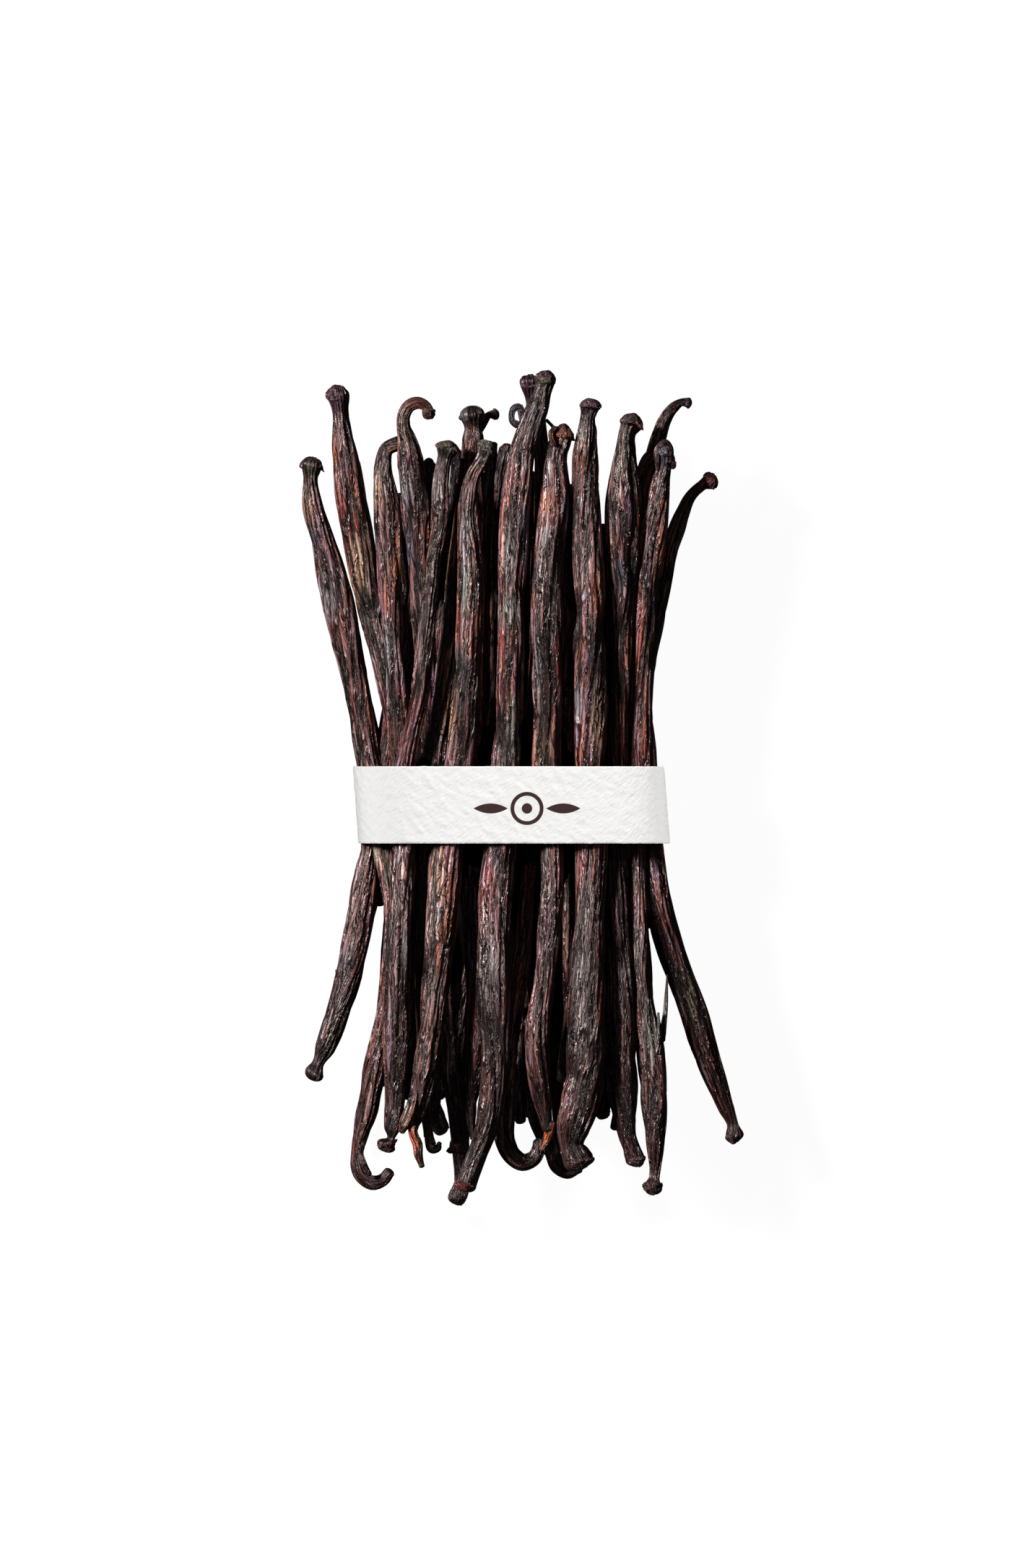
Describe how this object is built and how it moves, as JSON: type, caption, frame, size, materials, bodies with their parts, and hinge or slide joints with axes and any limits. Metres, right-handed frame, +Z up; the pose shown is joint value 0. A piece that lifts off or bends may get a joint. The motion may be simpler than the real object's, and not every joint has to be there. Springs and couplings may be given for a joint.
{
  "type": "bundle of vanilla pods",
  "caption": "Bundle of dark cured vanilla pods with uneven knobbed and hooked ends, lying flat, held at the waist by a wide paper band.",
  "frame": {"origin": "on the table under the middle of the bundle's outline", "axes": "+X across the bundle to the right as it is seen from above, +Y along the pods to their stem ends, +Z up, away from the table"},
  "size_m": [0.0999, 0.189, 0.0358],
  "materials": {
    "cured_pod": "wrinkled, oily satin",
    "band_paper": "embossed, matt"
  },
  "bodies": {
    "root": {"vanilla_pods": "cured_pod", "paper_band": "band_paper"}
  },
  "joints": []
}
